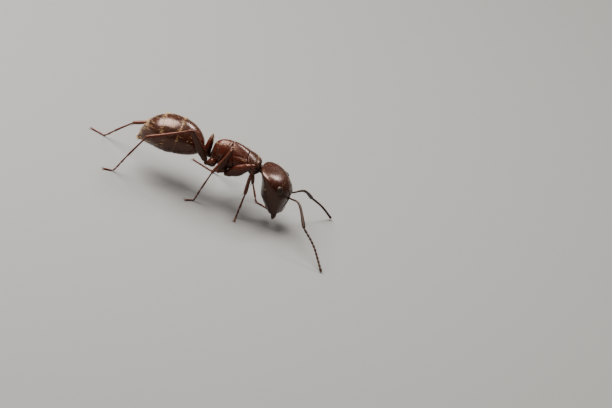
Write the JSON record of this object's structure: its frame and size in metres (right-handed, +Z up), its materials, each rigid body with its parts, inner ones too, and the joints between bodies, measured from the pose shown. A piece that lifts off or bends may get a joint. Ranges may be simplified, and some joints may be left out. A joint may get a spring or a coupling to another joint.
{
  "type": "carpenter ant model",
  "caption": "Still, life-size model of a worker carpenter ant on its feet, with its head bent down and its feelers reaching to the ground",
  "frame": {"origin": "on the ground under the middle of the whole ant, feelers and feet included", "axes": "+X towards the head, +Y to the ant's left, +Z up"},
  "size_m": [0.0199, 0.0089, 0.0057],
  "materials": {
    "dark_shell": "smooth dark chocolate shell, nearly black, glossy",
    "red_shell": "smooth dark red-brown shell, glossy",
    "leg_shell": "red-brown shell with fine short hairs",
    "feeler": "dark brown, downy towards the tip",
    "jaw": "dark red-brown, glossy, with fine pits",
    "eye": "black, set with fine facets"
  },
  "bodies": {
    "root": {"antenna_left_scape": "feeler", "antenna_right_scape": "feeler", "head_capsule": "dark_shell", "eye_left": "eye", "mandible_left": "jaw", "eye_right": "eye", "mandible_right": "jaw", "antenna_left_lash_inner": "feeler", "antenna_left_lash_outer": "feeler", "antenna_right_lash_inner": "feeler", "antenna_right_lash_outer": "feeler", "pronotum": "dark_shell", "mesonotum": "red_shell", "propodeum": "red_shell", "neck": "red_shell", "petiole": "red_shell", "gaster_1": "red_shell", "gaster_2": "dark_shell", "gaster_3": "dark_shell", "gaster_4": "dark_shell", "gaster_5": "dark_shell", "leg_fore_right_coxa": "leg_shell", "leg_fore_right_femur": "leg_shell", "leg_fore_right_tibia": "leg_shell", "leg_fore_right_tarsus": "leg_shell", "leg_fore_left_coxa": "leg_shell", "leg_fore_left_femur": "leg_shell", "leg_fore_left_tibia": "leg_shell", "leg_fore_left_tarsus": "leg_shell", "leg_mid_right_coxa": "leg_shell", "leg_mid_right_femur": "leg_shell", "leg_mid_right_tibia": "leg_shell", "leg_mid_right_tarsus": "leg_shell", "leg_mid_left_coxa": "leg_shell", "leg_mid_left_femur": "leg_shell", "leg_mid_left_tibia": "leg_shell", "leg_mid_left_tarsus": "leg_shell", "leg_hind_right_coxa": "leg_shell", "leg_hind_right_femur": "leg_shell", "leg_hind_right_tibia": "leg_shell", "leg_hind_right_tarsus": "leg_shell", "leg_hind_left_coxa": "leg_shell", "leg_hind_left_femur": "leg_shell", "leg_hind_left_tibia": "leg_shell", "leg_hind_left_tarsus": "leg_shell"}
  },
  "joints": []
}
